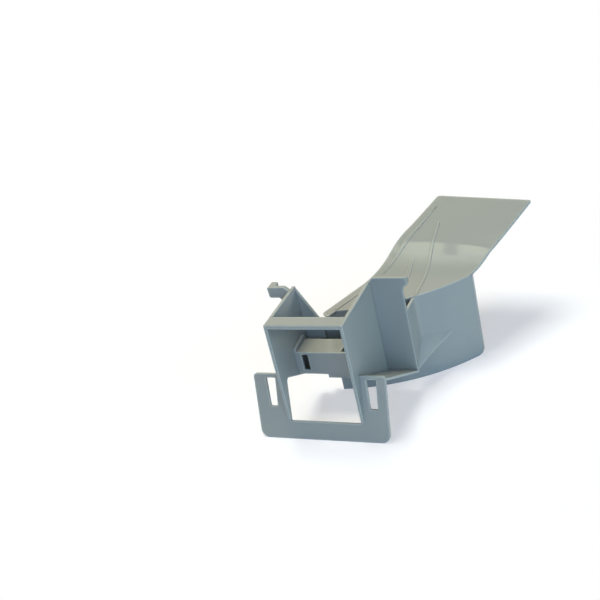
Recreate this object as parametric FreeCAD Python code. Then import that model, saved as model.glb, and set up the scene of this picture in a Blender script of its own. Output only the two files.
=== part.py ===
import FreeCAD, Part
import math
import os

# A mulching plug that closes the rear discharge tunnel of a rotary mower, moulded in one piece.
# Frame: X to the right along the seat flange, Y into the tunnel, Z up, millimetres.
# Origin: the middle of the lower front edge of the seat flange. The plug stands on that edge and
# on the lower edge of the curved wall.

V = FreeCAD.Vector

# Seat flange, a flat U-shaped plate that leans back
flange_width = 160.0
flange_height = 79.0
flange_wall = 3.4
flange_lean = 13.6
flange_taper = 2.0
bar_height = 21.8
foot_radius = 10.0
lug_radius = 4.0

# Tapered slots in the two lugs
slot_pitch = 122.0
slot_middle = 2.0
slot_top_gap = 3.5
slot_length = 35.5
slot_width_top = 12.0
slot_width_bottom = 9.2
slot_radius = 1.2

# Frame of two upright cheeks with a tie bar across their top
frame_middle = 3.0
frame_clear = 86.0
frame_top = 148.8
cheek_wall = 3.4
cheek_front = 6.0
cheek_corner_radius = 4.0
cheek_crest_radius = 1.2
left_crest_setback = 2.0
right_crest_setback = 7.8
right_crest_drop = 10.2
tie_depth = 18.4
tie_wall = 3.2
tie_lip = 4.6
tie_round = 2.2
tie_inner_round = 1.0

# Sloping floor that rests on the tunnel's floor, raised and lowered inside the frame
floor_slope = 28.5
floor_drop = 2.2
floor_wall = 3.0
pocket_right_front = 80.0
pocket_right_rear = 86.4
corner_floor_depth = 14.0
corner_floor_tip = 2.0
well_rise = 2.2
well_fall = 2.5
well_split_x = 0.0

# Rear walls of the frame
rear_wall = 3.2
rear_right_y = 101.6
rear_right_rise = 3.9
rear_right_chamfer_x = 6.7
rear_right_chamfer_z = 8.2
rear_left_y = 92.0
rear_left_drop = 4.0
rear_left_foot_x = -15.6
rear_left_foot_drop = 10.5
link_drop = 12.0

# Hook on the left cheek and turned-back tab on the right rear wall
hook_tip_x = -69.6
hook_y = 81.0
hook_wall = 5.4
hook_rise = 4.8
hook_height = 13.0
hook_draft = 0.8
hook_return = 14.4
hook_return_width = 8.0
hook_root_drop = 4.6
hook_shoulder = 5.0
hook_web_reach = 13.0
hook_web_drop = 15.0
hook_round = 2.6
hook_edge_round = 0.8
tab_reach = 6.4
tab_height = 9.6
tab_slant = 4.0
tab_depth = 7.6
tab_fall = 4.4
tab_round = 2.0
tab_wall = 3.0

# Step inside the frame
step_y = 51.0
step_top = 85.0
step_depth = 29.5
step_right_x = 17.6
step_wall = 3.0
step_round = 6.0
step_rib_front = 4.6
step_rib_rear = 7.0
step_rib_wall = 3.2
step_rib_round = 2.0
recess_inset = 8.6
recess_width = 8.1
recess_height = 21.2
recess_round = 1.5

# Curved wall that completes the round blade housing
housing_radius = 227.2
housing_x = -34.7
housing_front_y = 99.4
housing_wall = 3.2
housing_left_x = -25.0
housing_right_x = 142.8
housing_notch_x = -12.4
housing_notch_height = 17.8
housing_foot_round = 5.4

# Sheet that makes the roof of the blade housing: flat in front, then rising, with an S section on
# the left side that straightens to an even slope on the right side
sheet_level = 110.0
sheet_wall = 3.0
ramp_left_x = -40.0
ramp_left_start = 158.0
ramp_left_angle = 34.4
ramp_left_low_radius = 106.3
ramp_left_high_radius = 144.7
ramp_left_end_angle = 9.4
ramp_right_x = 220.0
ramp_right_start = 178.7
ramp_right_angle = 21.3
ramp_right_low_radius = 81.0
ramp_right_high_radius = 600.0
ramp_right_end_angle = 20.7
sheet_front_left_x = -14.2
sheet_front_left_y = 98.5
sheet_left_turn = 22.8
sheet_right_gap = 1.2
sheet_right_turn = 25.4
sheet_far_left_y = 313.0
sheet_far_right_y = 298.0
sheet_left_round = 5.0
sheet_right_round = 0.6
finger_width = 11.6
finger_front_y = 88.6
finger_tip_setback = 1.2
finger_round = 1.0

# Ribs under the sheet, and the low ridges that stand over them on its upper face
rib_wall = 2.4
rib_depth = 12.0
rib_right_x = 87.3
rib_right_end = 265.0
rib_middle_x = 64.9
rib_middle_end = 210.0
edge_inset = 10.6
edge_rib_end = 292.0
ridge_height = 0.7
ridge_right_width = 2.8
ridge_middle_width = 5.2
ridge_edge_width = 5.4
ridge_edge_start = 184.0
ridge_edge_widest = 230.0
ridge_finger_width = 1.8
ridge_finger_start = 104.0
ridge_finger_end = 166.0

# Web and sloping gusset between the rear wall and the curved wall
web_wall = 3.0
web_drop = 1.0
web_round = 10.0
gusset_wall = 2.6
gusset_tip_x = 119.1
gusset_tip_z = 49.2
gusset_root_z = 58.0
gusset_sag = 0.8
gusset_round = 1.2

# How far a piece runs into the one that carries it, and how far a cutter runs past what it cuts
weld = 1.0
trim_reach = 60.0

lean = math.radians(flange_lean)
slope = math.tan(math.radians(floor_slope))
sheet_left_slope = math.tan(math.radians(sheet_left_turn))
sheet_right_slope = math.tan(math.radians(sheet_right_turn))
frame_left_in = frame_middle - frame_clear / 2
frame_right_in = frame_middle + frame_clear / 2
frame_left_out = frame_left_in - cheek_wall
frame_right_out = frame_right_in + cheek_wall
slot_bottom = flange_height - slot_top_gap - slot_length
floor_start = flange_height * math.cos(lean) - floor_drop
floor_y = math.tan(lean) * floor_start
rear_right_top = frame_top + rear_right_rise
rear_left_top = frame_top - rear_left_drop
rear_left_foot_z = sheet_level - rear_left_foot_drop
link_top = rear_left_foot_z - link_drop
hook_top = frame_top + hook_rise
housing_y = housing_front_y + housing_radius
tall = 2 * (frame_top + sheet_level)
wide = 2 * (housing_radius + flange_width)
left_side = (ramp_left_x, ramp_left_start, ramp_left_angle, ramp_left_low_radius,
             ramp_left_high_radius, ramp_left_end_angle)
right_side = (ramp_right_x, ramp_right_start, ramp_right_angle, ramp_right_low_radius,
              ramp_right_high_radius, ramp_right_end_angle)


def line(a, b):
    return Part.LineSegment(a, b).toShape()


def arc(a, middle, b):
    return Part.Arc(a, middle, b).toShape()


def outline(points, radii):
    """Closed face in the XY plane through the points, with an arc of the given radius at each corner."""
    pts = [V(p[0], p[1], 0) for p in points]
    count = len(pts)
    starts, ends, middles = [], [], []
    for i in range(count):
        here, before, after = pts[i], pts[i - 1], pts[(i + 1) % count]
        radius = radii[i]
        if radius <= 0:
            starts.append(here)
            ends.append(here)
            middles.append(None)
            continue
        to_before = (before - here).normalize()
        to_after = (after - here).normalize()
        half = to_before.getAngle(to_after) / 2
        reach = radius / math.tan(half)
        starts.append(here + to_before * reach)
        ends.append(here + to_after * reach)
        inward = (to_before + to_after).normalize()
        middles.append(here + inward * (radius / math.sin(half) - radius))
    edges = []
    for i in range(count):
        if middles[i] is not None:
            edges.append(arc(starts[i], middles[i], ends[i]))
        following = starts[(i + 1) % count]
        if (following - ends[i]).Length > 1e-6:
            edges.append(line(ends[i], following))
    return Part.Face(Part.Wire(edges))


def square(count):
    """Radii of an outline with sharp corners."""
    return [0] * count


def upright_x(points, radii, x, wall):
    """Wall square to X, drawn as (y, z), from x to x + wall."""
    shape = outline(points, radii).extrude(V(0, 0, wall))
    turn = FreeCAD.Rotation(V(0, 1, 0), V(0, 0, 1), V(1, 0, 0), "XYZ")
    shape.Placement = FreeCAD.Placement(V(x, 0, 0), turn)
    return shape


def upright_y(points, radii, y, wall):
    """Wall square to Y, drawn as (x, z), from y to y + wall."""
    shape = outline(points, radii).extrude(V(0, 0, -wall))
    turn = FreeCAD.Rotation(V(1, 0, 0), V(0, 0, 1), V(0, -1, 0), "XYZ")
    shape.Placement = FreeCAD.Placement(V(0, y, 0), turn)
    return shape


def plan(points, radii, low, high):
    """Prism over an outline in plan, from the height low to the height high."""
    shape = outline(points, radii).extrude(V(0, 0, high - low))
    shape.translate(V(0, 0, low))
    return shape


def flange_plate(points, radii, wall):
    """Plate in the leaning plane of the flange, drawn as (x, distance up the plane)."""
    shape = outline(points, radii).extrude(V(0, 0, -wall))
    up = V(0, math.sin(lean), math.cos(lean))
    out = V(1, 0, 0).cross(up)
    turn = FreeCAD.Rotation(V(1, 0, 0), up, out, "XYZ")
    shape.Placement = FreeCAD.Placement(V(0, 0, 0), turn)
    return shape


def floor_z(y):
    """Height of the upper face of the sloping floor."""
    return floor_start - (y - floor_y) * slope


def housing_front(x, radius):
    """Y of the front of the round housing of the given radius."""
    return housing_y - math.sqrt(radius ** 2 - (x - housing_x) ** 2)


def sheet_left(y):
    """X of the left edge of the sheet."""
    return sheet_front_left_x + (y - sheet_front_left_y) * sheet_left_slope


def sheet_right(y):
    """X of the right edge of the sheet."""
    return housing_right_x + (y - sheet_right_y) * sheet_right_slope


def sheet_points(side, depth):
    """Seven points along the section of one side of the sheet, at a depth under its upper face."""
    x, start, rise, low_radius, high_radius, end = side
    rise, end = math.radians(rise), math.radians(end)
    low_z = sheet_level + low_radius
    bend_y = start + (low_radius + high_radius) * math.sin(rise)
    bend_z = low_z - (low_radius + high_radius) * math.cos(rise)
    low = low_radius + depth
    high = high_radius - depth
    half = rise / 2
    middle = (rise + end) / 2
    head = V(x, bend_y - high * math.sin(end), bend_z + high * math.cos(end))
    run = sheet_far_left_y + trim_reach - head.y
    return [V(x, finger_front_y - trim_reach, sheet_level - depth),
            V(x, start, sheet_level - depth),
            V(x, start + low * math.sin(half), low_z - low * math.cos(half)),
            V(x, start + low * math.sin(rise), low_z - low * math.cos(rise)),
            V(x, bend_y - high * math.sin(middle), bend_z + high * math.cos(middle)),
            head,
            head + V(0, run, run * math.tan(end))]


def s_curve(p):
    """Line, two bends and a line through seven points."""
    return [line(p[0], p[1]), arc(p[1], p[2], p[3]), arc(p[3], p[4], p[5]), line(p[5], p[6])]


def sheet_band(top, low):
    """Solid between two depths under the upper face of the sheet, over more than its whole width."""
    wires = []
    for side in (left_side, right_side):
        upper = sheet_points(side, top)
        lower = sheet_points(side, low)[::-1]
        edges = s_curve(upper) + [line(upper[-1], lower[0])] + s_curve(lower) + [line(lower[-1], upper[0])]
        wires.append(Part.Wire(edges))
    return Part.makeLoft(wires, True, True)


def space_under_sheet(top):
    """Solid from a depth under the upper face of the sheet down past the ground."""
    wires = []
    for side in (left_side, right_side):
        upper = sheet_points(side, top)
        far = V(side[0], upper[-1].y, -trim_reach)
        near = V(side[0], upper[0].y, -trim_reach)
        edges = s_curve(upper) + [line(upper[-1], far), line(far, near), line(near, upper[0])]
        wires.append(Part.Wire(edges))
    return Part.makeLoft(wires, True, True)


def round_housing(radius, low, high):
    """Upright cylinder of the round blade housing."""
    return Part.makeCylinder(radius, high - low, V(housing_x, housing_y, low))


def make_flange():
    half = flange_width / 2
    left, right = frame_left_in, frame_right_in
    points = [(-half, 0), (half - flange_taper, 0), (half, flange_height), (right, flange_height),
              (right, bar_height), (left, bar_height), (left, flange_height), (-half, flange_height)]
    radii = [foot_radius, foot_radius, lug_radius, 0, 0, 0, 0, lug_radius]
    plate = flange_plate(points, radii, flange_wall)
    top, low = slot_width_top / 2, slot_width_bottom / 2
    end = slot_bottom + slot_length
    for side in (-1, 1):
        middle = slot_middle + side * slot_pitch / 2
        slot = [(middle - low, slot_bottom), (middle + low, slot_bottom),
                (middle + top, end), (middle - top, end)]
        cutter = flange_plate(slot, [slot_radius] * 4, 3 * flange_wall)
        cutter.translate(V(0, -flange_wall, 0))
        plate = plate.cut(cutter)
    corner = V(-flange_width, -flange_height / 2, -flange_height)
    ground = Part.makeBox(2 * flange_width, flange_height, flange_height, corner)
    return plate.cut(ground)


def make_cheek(x, rear_y, rear_top, crest_setback):
    """Upright side wall whose lower front runs out along the back of the leaning flange."""
    back = flange_wall / math.cos(lean)
    low_z = bar_height * math.cos(lean)
    low_front = bar_height * math.sin(lean)
    corner_y = math.tan(lean) * (floor_start - floor_wall) + back
    points = [(low_front, low_z), (low_front + back, low_z),
              (corner_y, floor_z(corner_y) - floor_wall), (rear_y, floor_z(rear_y) - floor_wall),
              (rear_y, rear_top), (rear_y - crest_setback, frame_top), (cheek_front, frame_top)]
    radii = [0, 0, cheek_corner_radius, 0, 0, 0, cheek_crest_radius]
    return upright_x(points, radii, x, cheek_wall)


def make_tie():
    lip = cheek_front + tie_wall
    back = cheek_front + tie_depth
    points = [(cheek_front, frame_top - tie_lip), (lip, frame_top - tie_lip),
              (lip, frame_top - tie_wall), (back, frame_top - tie_wall),
              (back, frame_top), (cheek_front, frame_top)]
    radii = [0, 0, tie_inner_round, 0, 0, tie_round]
    return upright_x(points, radii, frame_left_out, frame_right_out - frame_left_out)


def sloping_floor(points, lift, wall):
    """Slab over an outline in plan, with its upper face at a height above the sloping floor."""
    near, far = -wide, wide
    profile = [(near, floor_z(near) + lift - wall), (far, floor_z(far) + lift - wall),
               (far, floor_z(far) + lift), (near, floor_z(near) + lift)]
    slab = upright_x(profile, square(4), -wide, 2 * wide)
    return slab.common(plan(points, square(len(points)), floor_z(far) - tall, floor_z(near) + tall))


def make_floors():
    front = floor_y + flange_wall / 2
    rear = rear_right_y + rear_wall
    pocket = [(frame_right_in, front), (pocket_right_front, front), (pocket_right_rear, rear),
              (frame_right_in, rear)]
    right = sloping_floor(pocket, 0, floor_wall)
    tip_x = 2 * lug_radius - flange_width / 2
    corner = [(frame_left_in, front), (frame_left_in, front + corner_floor_depth),
              (tip_x, front + corner_floor_tip), (tip_x, front)]
    left = sloping_floor(corner, 0, floor_wall)
    split, edge = well_split_x, well_split_x - floor_wall
    rear_left = rear_left_y + weld
    split_rear = housing_front(split, housing_radius) + weld
    right_rear = housing_front(frame_right_in, housing_radius) + weld
    left_well = [(frame_left_in, step_y), (split, step_y), (split, split_rear),
                 (housing_x, rear_left), (frame_left_in, rear_left)]
    right_well = [(split, step_y), (frame_right_in, step_y), (frame_right_in, right_rear),
                  (split, split_rear)]
    riser = [(edge, step_y), (split, step_y), (split, split_rear), (edge, split_rear)]
    well = sloping_floor(left_well, well_rise, floor_wall)
    well = well.fuse(sloping_floor(right_well, -well_fall, floor_wall))
    well = well.fuse(sloping_floor(riser, well_rise, well_rise + well_fall + floor_wall))
    return right.fuse([left, well])


def make_rear_walls():
    low = floor_z(rear_right_y) - floor_wall
    top = rear_right_top
    tab_x = pocket_right_rear + tab_reach
    tab_low = top - tab_height
    points = [(frame_right_in, low), (pocket_right_rear, low), (pocket_right_rear, tab_low - tab_reach),
              (tab_x, tab_low + tab_slant), (tab_x, top), (frame_right_in + rear_right_chamfer_x, top),
              (frame_right_in, top - rear_right_chamfer_z)]
    radii = [0, 0, 2 * tab_round, tab_round, 0, 0, 0]
    right = upright_y(points, radii, rear_right_y, rear_wall)
    rear = rear_right_y + tab_depth
    points = [(rear_right_y, tab_low), (rear, tab_low), (rear, top - tab_fall),
              (rear_right_y + rear_wall, top), (rear_right_y, top)]
    tab = upright_x(points, [0, tab_round, tab_round, 0, 0], tab_x - tab_wall, tab_wall)
    low = floor_z(rear_left_y) - floor_wall
    points = [(frame_left_in - weld, low), (rear_left_foot_x, low), (rear_left_foot_x, rear_left_foot_z),
              (frame_left_in, rear_left_top), (frame_left_in - weld, rear_left_top)]
    left = upright_y(points, square(5), rear_left_y, rear_wall)
    back = housing_front(housing_left_x, housing_radius - housing_wall / 2)
    points = [(rear_left_y, low), (back, low), (back, link_top), (rear_left_y, link_top)]
    link = upright_x(points, square(4), housing_left_x, rear_wall)
    return right.fuse([tab, left, link])


def make_hook():
    low = hook_top - hook_height
    root_x = frame_left_in - cheek_wall / 2
    cheek_x = frame_left_out
    root_top = hook_top - hook_root_drop
    points = [(hook_tip_x, hook_top), (hook_tip_x + hook_draft, low), (cheek_x - hook_web_reach, low),
              (cheek_x, low - hook_web_drop), (root_x, low - hook_web_drop), (root_x, root_top),
              (cheek_x, root_top), (cheek_x - hook_shoulder, hook_top)]
    radii = [hook_edge_round, hook_round, hook_round, 0, 0, 0, 0, hook_round]
    arm = upright_y(points, radii, hook_y, hook_wall)
    far = hook_tip_x + hook_return_width
    points = [(hook_tip_x, hook_top), (hook_tip_x + hook_draft, low), (far, low), (far, hook_top)]
    radii = [hook_edge_round, hook_round, 0, hook_edge_round]
    back = upright_y(points, radii, hook_y, hook_return)
    return arm.fuse(back)


def make_step():
    left, right = frame_left_in - weld, frame_right_in + weld
    low = floor_z(step_y) - floor_wall
    split = well_split_x - floor_wall
    points = [(left, low + well_rise), (split, low + well_rise), (split, low - well_fall),
              (right, low - well_fall), (right, step_top), (left, step_top)]
    front = upright_y(points, square(6), step_y, step_wall)
    ledge_low = step_top - step_wall
    recess_left = frame_left_in + recess_inset
    recess_right = recess_left + recess_width
    recess_low = ledge_low - recess_height
    recess = [(recess_left, recess_low), (recess_right, recess_low), (recess_right, ledge_low),
              (recess_left, ledge_low)]
    cutter = upright_y(recess, [recess_round] * 4, step_y - step_wall, 3 * step_wall)
    front = front.cut(cutter)
    back = step_y + step_depth
    points = [(left, step_y), (step_right_x, step_y), (step_right_x, back), (left, back)]
    ledge = plan(points, [0, step_round, 0, 0], ledge_low, step_top)
    points = [(step_y, ledge_low), (back, ledge_low), (back, step_top + step_rib_rear),
              (step_y, step_top + step_rib_front)]
    rib = upright_x(points, [0, 0, step_rib_round, step_rib_round], left, step_rib_wall + weld)
    return front.fuse([ledge, rib])


def make_housing():
    inner = housing_radius - housing_wall
    ring = round_housing(housing_radius, 0, tall).cut(round_housing(inner, -weld, tall + weld))
    left, right = housing_left_x, housing_right_x
    past = left - trim_reach
    near = housing_front_y - weld
    span = plan([(left, near), (right, near), (right, housing_y), (left, housing_y)], square(4), 0, tall)
    wall = ring.common(span).common(space_under_sheet(sheet_wall / 2))
    notch = [(past, near), (housing_notch_x, near), (housing_notch_x, housing_y), (past, housing_y)]
    wall = wall.cut(plan(notch, square(4), -weld, housing_notch_height))
    outside = [(past, near), (sheet_left(near), near), (sheet_left(housing_y), housing_y), (past, housing_y)]
    wall = wall.cut(plan(outside, square(4), link_top, tall))
    foot = housing_foot_round
    depth = housing_y - near
    quarter = Part.makeCylinder(foot, depth, V(right - foot, near, foot), V(0, 1, 0))
    corner = [(right - foot, -weld), (right + weld, -weld), (right + weld, foot), (right - foot, foot)]
    return wall.cut(upright_y(corner, square(4), near, depth).cut(quarter))


def make_sheet():
    band = sheet_band(0, sheet_wall)
    far_left = sheet_left(sheet_far_left_y)
    far_right = sheet_right(sheet_far_right_y)
    near = housing_front_y - trim_reach
    points = [(sheet_left(near), near), (housing_right_x, near), (housing_right_x, sheet_right_y),
              (far_right, sheet_far_right_y), (far_left, sheet_far_left_y)]
    area = plan(points, [0, 0, 0, sheet_right_round, sheet_left_round], 0, tall)
    middle_y = housing_y - housing_radius / 2
    beyond = [(-wide, middle_y), (wide, middle_y), (wide, wide), (-wide, wide)]
    inside = round_housing(housing_radius, 0, tall).fuse(plan(beyond, square(4), 0, tall))
    corner_y = sheet_right_y - 2 * sheet_right_gap
    beside = [(housing_right_x - weld, sheet_right_y), (housing_right_x, corner_y), (wide, corner_y),
              (wide, housing_y)]
    inside = inside.fuse(plan(beside, square(4), 0, tall))
    roof = band.common(area).common(inside)
    width = finger_width / math.cos(math.radians(sheet_left_turn))
    meet = housing_front(sheet_left(sheet_front_left_y) + width, housing_radius) + 2 * housing_wall
    tip = sheet_front_left_y - finger_tip_setback
    points = [(sheet_left(tip), tip), (sheet_left(finger_front_y) + width, finger_front_y),
              (sheet_left(meet) + width, meet), (sheet_left(meet), meet)]
    finger = band.common(plan(points, [finger_round, finger_round, 0, 0], 0, tall))
    return roof.fuse(finger)


def strip(x, width, start, end):
    """Outline in plan of a straight strip along Y."""
    half = width / 2
    return [(x - half, start), (x + half, start), (x + half, end), (x - half, end)]


def edge_strip(inset, width, start, end):
    """Outline in plan of a strip along the left edge of the sheet, with its middle at an inset from it."""
    across = math.cos(math.radians(sheet_left_turn))
    low, high = (inset - width / 2) / across, (inset + width / 2) / across
    return [(sheet_left(start) + low, start), (sheet_left(start) + high, start),
            (sheet_left(end) + high, end), (sheet_left(end) + low, end)]


def make_ribs():
    band = sheet_band(sheet_wall / 2, rib_depth)
    root = housing_wall / 2
    areas = []
    for x, end in ((rib_right_x, rib_right_end), (rib_middle_x, rib_middle_end)):
        areas.append(strip(x, rib_wall, housing_front(x, housing_radius) + root, end))
    start = housing_front(sheet_front_left_x + edge_inset, housing_radius) + root
    areas.append(edge_strip(edge_inset, rib_wall, start, edge_rib_end))
    return [band.common(plan(area, square(4), 0, tall)) for area in areas]


def make_ridges():
    """Low ridges on the upper face: two straight ones with a round end, a tapered one and a narrow one."""
    band = sheet_band(-ridge_height, sheet_wall / 2)
    ridges = []
    for x, width, end in ((rib_right_x, ridge_right_width, rib_right_end),
                          (rib_middle_x, ridge_middle_width, rib_middle_end)):
        area = strip(x, width, housing_front(x, housing_radius) + housing_wall, end)
        rounded = 0.49 * width
        ridges.append(band.common(plan(area, [0, 0, rounded, rounded], 0, tall)))
    across = math.cos(math.radians(sheet_left_turn))
    middle = edge_inset / across
    half = ridge_edge_width / across / 2
    widest = sheet_left(ridge_edge_widest)
    taper = [(sheet_left(ridge_edge_start) + middle, ridge_edge_start),
             (widest + middle + half, ridge_edge_widest),
             (sheet_left(edge_rib_end) + middle, edge_rib_end),
             (widest + middle - half, ridge_edge_widest)]
    ridges.append(band.common(plan(taper, square(4), 0, tall)))
    narrow = edge_strip(edge_inset, ridge_finger_width, ridge_finger_start, ridge_finger_end)
    ridges.append(band.common(plan(narrow, square(4), 0, tall)))
    return ridges


def make_web():
    root = rear_right_y + rear_wall / 2
    top = sheet_level - web_drop
    inside = housing_radius - 0.6 * housing_wall
    x = pocket_right_rear - web_wall
    rear = housing_front(x, inside)
    low = floor_z(rear_right_y) - floor_wall
    points = [(root, low), (rear, gusset_root_z - link_drop), (rear, top), (root, top)]
    web = upright_x(points, square(4), x, web_wall)
    rear = housing_front(frame_right_in, inside)
    low_rear = floor_z(rear) - floor_wall
    points = [(root, low), (rear, low_rear), (rear, top - sheet_wall), (root, top - sheet_wall)]
    inner = upright_x(points, square(4), frame_right_in, cheek_wall)
    return web.fuse(inner)


def gusset_face():
    """Upper face of the sloping plate between the web and the curved wall, and the direction square to it."""
    start = V(pocket_right_rear, rear_right_y, floor_z(rear_right_y))
    tip = V(gusset_tip_x, housing_front(gusset_tip_x, housing_radius), gusset_tip_z)
    root_x = pocket_right_rear - web_wall
    root = V(root_x, housing_front(root_x, housing_radius), gusset_root_z)
    across = (tip - start).cross(root - start).normalize()
    if across.z < 0:
        across = across * -1
    chord = tip - start
    inward = across.cross(chord).normalize()
    if inward.dot(root - start) < 0:
        inward = inward * -1
    middle = start + chord * 0.5 + inward * gusset_sag
    past = inward * (2 * housing_wall)
    corner = V(root_x, rear_right_y, 0)
    corner.z = start.z - ((corner - start).x * across.x + (corner - start).y * across.y) / across.z
    edges = [arc(start, middle, tip), line(tip, tip + past), line(tip + past, root + past),
             line(root + past, corner), line(corner, start)]
    return Part.Face(Part.Wire(edges)), across


def make_gusset():
    """Sloping plate whose free edge is slightly hollow in plan and rounded on both sides."""
    face, across = gusset_face()
    plate = face.extrude(across * -gusset_wall)
    free = [edge for edge in plate.Edges if isinstance(edge.Curve, Part.Circle)]
    plate = plate.makeFillet(min(gusset_round, 0.45 * gusset_wall), free)
    return plate.cut(round_housing(housing_radius - 0.7 * housing_wall, -trim_reach, tall))


def make_web_round():
    """Hollow round in the upright corner of the web and the curved wall, down to the gusset."""
    x = pocket_right_rear
    root_x = x - web_wall / 2
    inside = housing_radius - housing_wall / 2
    middle_x = x + web_round
    middle_y = housing_front(middle_x, housing_radius + web_round)
    touch_x = housing_x + (middle_x - housing_x) * housing_radius / (housing_radius + web_round)
    points = [(root_x, middle_y), (x, middle_y), (touch_x, housing_front(touch_x, housing_radius)),
              (touch_x, housing_front(touch_x, inside)), (root_x, housing_front(root_x, inside))]
    low, top = floor_z(rear_right_y), sheet_level - web_drop
    corner = plan(points, square(5), low, top)
    corner = corner.cut(Part.makeCylinder(web_round, top - low, V(middle_x, middle_y, low)))
    face, across = gusset_face()
    face.translate(across * (-gusset_wall / 2))
    return corner.cut(face.extrude(V(0, 0, -tall)))


sheet_right_y = housing_front(housing_right_x, housing_radius) + sheet_right_gap
left_rear = rear_left_y + rear_wall
right_rear = rear_right_y + rear_wall
pieces = [make_flange()]
pieces.append(make_cheek(frame_left_out, left_rear, rear_left_top, left_crest_setback))
pieces.append(make_cheek(frame_right_in, right_rear, frame_top - right_crest_drop, right_crest_setback))
pieces.append(make_tie())
pieces.append(make_floors())
pieces.append(make_rear_walls())
pieces.append(make_hook())
pieces.append(make_step())
pieces.append(make_housing())
pieces.append(make_sheet())
pieces += make_ribs()
pieces += make_ridges()
pieces.append(make_web())
pieces.append(make_gusset())
pieces.append(make_web_round())
plug = pieces[0].fuse(pieces[1:]).removeSplitter()

os.makedirs("parts", exist_ok=True)
plug.exportStep("parts/mulching_plug.step")
print("solids", len(plug.Solids), "valid", plug.isValid(), "volume", round(plug.Volume))
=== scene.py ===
import bpy
from mathutils import Matrix, Vector

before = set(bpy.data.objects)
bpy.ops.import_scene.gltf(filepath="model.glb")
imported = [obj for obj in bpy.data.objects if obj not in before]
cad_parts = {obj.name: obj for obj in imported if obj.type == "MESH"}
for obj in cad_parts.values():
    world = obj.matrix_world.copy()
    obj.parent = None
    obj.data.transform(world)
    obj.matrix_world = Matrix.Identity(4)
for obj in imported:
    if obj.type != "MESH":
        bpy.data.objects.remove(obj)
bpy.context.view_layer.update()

MM = 0.001
WHITE = (1.0, 1.0, 1.0)

# Camera: where it stands, which way it looks, and which way is up in its picture
CAMERA_PLACE = Vector((0.451894, -0.826802, 0.665399))
CAMERA_LOOK = Vector((-0.41788, 0.78530, -0.45681))
CAMERA_UP = Vector((0.0074, 0.5057, 0.8626))
CAMERA_LENS = 60.35
CAMERA_SENSOR = 36.0

# Plastic: its own colour, between grey and pale
PLASTIC_GREY = (0.290, 0.297, 0.300)
PLASTIC_PALE = (0.302, 0.309, 0.311)
PLASTIC_IOR = 1.49

# Plastic: noise patterns as scale, detail and roughness
CLOUD_NOISE = (26.0, 3.0, 0.5)
FLOW_NOISE = (90.0, 2.0, 0.5)
SPECK_NOISE = (900.0, 1.0, 0.5)
GRAIN_NOISE = (2600.0, 2.0, 0.6)
CLOUD_SHARE = 0.7
FLOW_SHARE = 0.3
SPECK_START = 0.62
SPECK_SHARE = 0.5
GRAIN_STRENGTH = 0.04
GRAIN_DEPTH = 0.04 * MM

# Plastic: outer edges are rounded and get a painted highlight, inner corners get painted shade; the
# painted highlight shares its pale colour with the pale specks
FLECK_AND_PAINTED_HIGHLIGHT = (0.470, 0.490, 0.490)
EDGE_ROUND = 1.0 * MM
EDGE_HIGHLIGHT_REACH = 2.1 * MM
EDGE_HIGHLIGHT_GAIN = 2.0
EDGE_HIGHLIGHT_SHARE = 0.7
CORNER_PAINTED_SHADE = (0.150, 0.158, 0.158)
CORNER_SHADE_REACH = 3.0 * MM
CORNER_SHADE_GAIN = 1.6
CORNER_SHADE_SHARE = 0.4
ROUND_SAMPLES = 6
REACH_SAMPLES = 8

# Plastic: satin, but polished where a face looks up in the far half of the sheet
SATIN_ROUGHNESS = 0.23
POLISH_GAIN = 0.18
PATCHY_ROUGHNESS = 0.02
POLISH_DEPTH = 208.0 * MM
POLISH_BLEND = 6.0 * MM
POLISH_TILT = 0.4
TILT_BLEND = 0.1

# Floor: its colour for bounced light, its colour and glow as seen, and where it becomes plain white
FLOOR_COLOUR = (0.83, 0.89, 0.97)
FLOOR_SEEN = (0.545, 0.565, 0.770)
FLOOR_GLOW = (0.468, 0.440, 0.370)
FLOOR_MIDDLE = (0.06, 0.17, 0.0)
FLOOR_NEAR = 0.22
FLOOR_FADE = 0.16
FLOOR_HALF = 6.0

# World: a weak sky for the light, plain white where it is seen
SKY_COLOUR = (0.9, 0.95, 1.0)
SKY_STRENGTH = 0.04

# Soft boxes: name, place, width and height, power, colour, and whether the plastic mirrors it
LIGHT_TARGET = (0.05, 0.15, 0.08)
SOFT_BOXES = [
    ("top_softbox", (-0.3, 0.27, 2.1), (0.9, 0.9), 37.0, (1.0, 0.955, 0.65), False),
    ("right_softbox", (1.9, -0.7, 0.8), (1.4, 1.2), 20.5, (0.56, 0.86, 1.0), True),
    ("front_softbox", (0.7, -1.9, 0.9), (1.6, 1.2), 19.0, (0.42, 0.68, 1.0), True),
    ("rear_softbox", (-1.6, 1.7, 0.9), (1.6, 1.2), 9.0, (0.72, 0.86, 1.0), False),
]

# Ceiling panels: corners in plan, near side first, and how bright they are
LEFT_PANEL = [(-0.640, 0.05), (-0.448, 0.05), (-0.394, 1.12), (-0.554, 0.74)]
RIGHT_PANEL = [(-0.404, 0.05), (-0.280, 0.05), (-0.225, 1.18), (-0.344, 1.20)]
PANEL_HEIGHT = 2.3
PANEL_COLOUR = (1.0, 0.98, 0.80)
PANEL_GLOW = 4.2


class Sock:
    """A shader socket that can be used in Python sums."""

    def __init__(self, tree, socket):
        self.tree = tree
        self.socket = socket

    def math(self, operation, a, b):
        return add_node(self.tree, "ShaderNodeMath", {"operation": operation}, i0=a, i1=b)

    def __add__(self, other):
        return self.math("ADD", self, other)

    def __radd__(self, other):
        return self.math("ADD", other, self)

    def __sub__(self, other):
        return self.math("SUBTRACT", self, other)

    def __rsub__(self, other):
        return self.math("SUBTRACT", other, self)

    def __mul__(self, other):
        return self.math("MULTIPLY", self, other)

    def __rmul__(self, other):
        return self.math("MULTIPLY", other, self)

    def __truediv__(self, other):
        return self.math("DIVIDE", self, other)

    def __rtruediv__(self, other):
        return self.math("DIVIDE", other, self)

    def clamp(self):
        return add_node(self.tree, "ShaderNodeClamp", Value=self)


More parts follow.
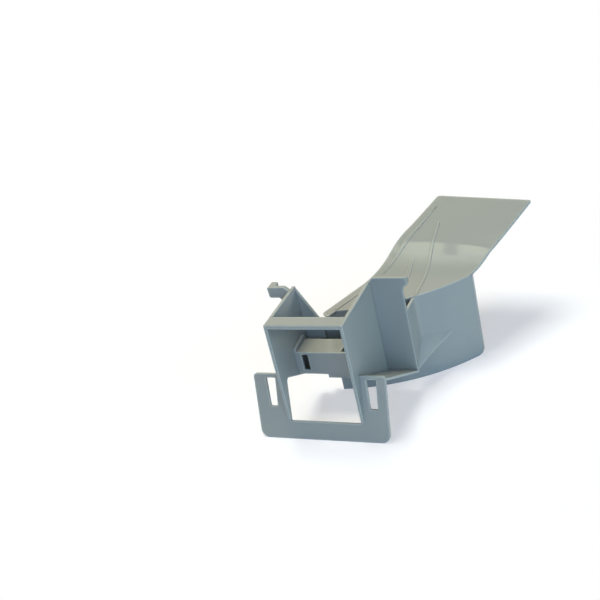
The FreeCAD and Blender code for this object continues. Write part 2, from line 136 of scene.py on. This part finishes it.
def add_node(tree, kind, settings=None, out=0, **inputs):
    """Adds a node: its settings first, then the values or links of its sockets.

    i0, i1 and so on name a socket by its number. An out of None is for a node that gives nothing on.
    """
    made = tree.nodes.new(kind)
    for key, value in (settings or {}).items():
        setattr(made, key, value)
    for key, value in inputs.items():
        numbered = key[0] == "i" and key[1:].isdigit()
        socket = made.inputs[int(key[1:])] if numbered else made.inputs[key.replace("_", " ")]
        if isinstance(value, Sock):
            tree.links.new(value.socket, socket)
        else:
            socket.default_value = value
    return None if out is None else Sock(tree, made.outputs[out])


def rgba(colour):
    """The colour with full opacity, as a colour socket takes it."""
    return (*colour, 1.0)


def object_place(tree):
    """Object coordinates of the point that is shaded."""
    return add_node(tree, "ShaderNodeTexCoord", out=3)


def mix_colour(tree, factor, a, b):
    """Mix of two colours by a factor."""
    return add_node(tree, "ShaderNodeMix", {"data_type": "RGBA"}, 2, i0=factor, i6=a, i7=b)


def new_material(name):
    """An empty node material and its tree."""
    made = bpy.data.materials.new(name)
    made.use_nodes = True
    made.node_tree.nodes.clear()
    return made, made.node_tree


def grey_plastic():
    """Injection-moulded grey plastic: fine spark-eroded grain, faint cloudy flow, painted highlight on
    outer edges, painted shade in inner corners.
    """
    made, tree = new_material("grey_moulded_plastic")
    place = object_place(tree)
    facing = add_node(tree, "ShaderNodeTexCoord", out=1)

    def noise(pattern):
        scale, detail, rough = pattern
        return add_node(tree, "ShaderNodeTexNoise", Vector=place, Scale=scale, Detail=detail,
                        Roughness=rough)

    def openness(inside, reach):
        settings = {"samples": REACH_SAMPLES, "inside": inside}
        return add_node(tree, "ShaderNodeAmbientOcclusion", settings, 1, Distance=reach)

    cloud = noise(CLOUD_NOISE)
    flow = noise(FLOW_NOISE)
    speck = noise(SPECK_NOISE)
    grain = noise(GRAIN_NOISE)

    # Painted shade in inner corners, which have little room outside; painted highlight on outer edges,
    # which have little plastic inside
    painted_corner_shade = ((1.0 - openness(False, CORNER_SHADE_REACH)) * CORNER_SHADE_GAIN).clamp()
    painted_edge_highlight = ((1.0 - openness(True, EDGE_HIGHLIGHT_REACH)) * EDGE_HIGHLIGHT_GAIN).clamp() * (1.0 - painted_corner_shade)

    depth = add_node(tree, "ShaderNodeSeparateXYZ", out=1, Vector=place)
    upward = add_node(tree, "ShaderNodeSeparateXYZ", out=2, Vector=facing)
    far = ((depth - POLISH_DEPTH) / POLISH_BLEND).clamp()
    polish = far * ((upward - POLISH_TILT) / TILT_BLEND).clamp()

    patches = (cloud * CLOUD_SHARE + flow * FLOW_SHARE).clamp()
    tone = mix_colour(tree, patches, rgba(PLASTIC_GREY), rgba(PLASTIC_PALE))
    # Pale specks in the plastic itself, in the same pale colour as the painted edge highlight
    tone = mix_colour(tree, (speck - SPECK_START).clamp() * SPECK_SHARE, tone, rgba(FLECK_AND_PAINTED_HIGHLIGHT))
    # Painted highlight along outer edges
    tone = mix_colour(tree, painted_edge_highlight * EDGE_HIGHLIGHT_SHARE, tone, rgba(FLECK_AND_PAINTED_HIGHLIGHT))
    # Painted shade in inner corners
    tone = mix_colour(tree, painted_corner_shade * CORNER_SHADE_SHARE, tone, rgba(CORNER_PAINTED_SHADE))
    roughness = SATIN_ROUGHNESS - polish * POLISH_GAIN + (cloud + speck) * PATCHY_ROUGHNESS

    rounded = add_node(tree, "ShaderNodeBevel", {"samples": ROUND_SAMPLES}, Radius=EDGE_ROUND)
    bump = add_node(tree, "ShaderNodeBump", Strength=GRAIN_STRENGTH, Distance=GRAIN_DEPTH,
                    Height=grain * (1.0 - polish), Normal=rounded)
    shader = add_node(tree, "ShaderNodeBsdfPrincipled", Base_Color=tone, Roughness=roughness,
                      IOR=PLASTIC_IOR, Normal=bump)
    add_node(tree, "ShaderNodeOutputMaterial", out=None, Surface=shader)
    return made


def seen_rays(tree):
    """1 for rays that show the background: straight from the camera, mirrored or through glass."""
    camera = add_node(tree, "ShaderNodeLightPath", out=0)
    glossy = add_node(tree, "ShaderNodeLightPath", out=3)
    through = add_node(tree, "ShaderNodeLightPath", out=6)
    return (camera + glossy + through).clamp()


def floor_material():
    """Pale floor that reads white to the camera and keeps a soft shadow."""
    made, tree = new_material("pale_floor")
    away = add_node(tree, "ShaderNodeVectorMath", {"operation": "DISTANCE"}, 1,
                    i0=object_place(tree), i1=FLOOR_MIDDLE)
    far = ((away - FLOOR_NEAR) / FLOOR_FADE).clamp()
    matt = add_node(tree, "ShaderNodeBsdfDiffuse", Color=rgba(FLOOR_COLOUR))
    pale = add_node(tree, "ShaderNodeBsdfDiffuse", Color=rgba(FLOOR_SEEN))
    glow = add_node(tree, "ShaderNodeEmission", Color=rgba(FLOOR_GLOW), Strength=1.0)
    near = add_node(tree, "ShaderNodeAddShader", i0=pale, i1=glow)
    white = add_node(tree, "ShaderNodeEmission", Color=rgba(WHITE), Strength=1.0)
    shown = add_node(tree, "ShaderNodeMixShader", i0=far, i1=near, i2=white)
    mixed = add_node(tree, "ShaderNodeMixShader", i0=seen_rays(tree), i1=matt, i2=shown)
    add_node(tree, "ShaderNodeOutputMaterial", out=None, Surface=mixed)
    return made


def panel_material():
    """Even glow of a ceiling panel."""
    made, tree = new_material("panel_glow")
    glow = add_node(tree, "ShaderNodeEmission", Color=rgba(PANEL_COLOUR), Strength=PANEL_GLOW)
    add_node(tree, "ShaderNodeOutputMaterial", out=None, Surface=glow)
    return made


def flat_object(name, corners, faces, material):
    """An object of flat faces with one material, which isn't part of the plug."""
    mesh = bpy.data.meshes.new(name)
    mesh.from_pydata(corners, [], faces)
    mesh.materials.append(material)
    made = bpy.data.objects.new(name, mesh)
    bpy.context.collection.objects.link(made)
    return made


def make_floor():
    """Wide square floor under the plug."""
    half = FLOOR_HALF
    corners = [(-half, -half, 0), (half, -half, 0), (half, half, 0), (-half, half, 0)]
    floor = flat_object("floor", corners, [(0, 1, 2, 3)], floor_material())


def make_ceiling_panels():
    """Two bright ceiling panels facing down, which the rising sheet mirrors as pale windows."""
    corners = [(x, y, PANEL_HEIGHT) for x, y in LEFT_PANEL + RIGHT_PANEL]
    panels = flat_object("ceiling_panels", corners, [(3, 2, 1, 0), (7, 6, 5, 4)], panel_material())


def make_world():
    """Sky that lights weakly and shows as white."""
    world = bpy.data.worlds.new("studio")
    bpy.context.scene.world = world
    world.use_nodes = True
    tree = world.node_tree
    tree.nodes.clear()
    sky = add_node(tree, "ShaderNodeBackground", Color=rgba(SKY_COLOUR), Strength=SKY_STRENGTH)
    white = add_node(tree, "ShaderNodeBackground", Color=rgba(WHITE), Strength=1.0)
    mixed = add_node(tree, "ShaderNodeMixShader", i0=seen_rays(tree), i1=sky, i2=white)
    add_node(tree, "ShaderNodeOutputWorld", out=None, Surface=mixed)


def make_lights():
    """The soft boxes, all aimed at the middle of the plug."""
    for name, place, size, power, colour, mirrored in SOFT_BOXES:
        lamp = bpy.data.lights.new(name, "AREA")
        lamp.shape = "RECTANGLE"
        lamp.size, lamp.size_y = size
        lamp.energy = power
        lamp.color = colour
        made = bpy.data.objects.new(name, lamp)
        made.location = place
        aim = Vector(LIGHT_TARGET) - Vector(place)
        made.rotation_euler = aim.to_track_quat("-Z", "Y").to_euler()
        made.visible_glossy = mirrored
        bpy.context.collection.objects.link(made)


def make_camera():
    """Camera at the photograph's place and angle."""
    data = bpy.data.cameras.new("camera")
    data.lens = CAMERA_LENS
    data.sensor_width = CAMERA_SENSOR
    made = bpy.data.objects.new("camera", data)
    look = CAMERA_LOOK.normalized()
    right = look.cross(CAMERA_UP).normalized()
    up = right.cross(look)
    turn = Matrix((right, up, -look)).transposed()
    made.matrix_world = Matrix.Translation(CAMERA_PLACE) @ turn.to_4x4()
    bpy.context.collection.objects.link(made)
    bpy.context.scene.camera = made


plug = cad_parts["mulching_plug"]
plug.data.materials.clear()
plug.data.materials.append(grey_plastic())

make_floor()
make_world()
make_lights()
make_ceiling_panels()
make_camera()
bpy.context.scene.view_settings.view_transform = "Standard"
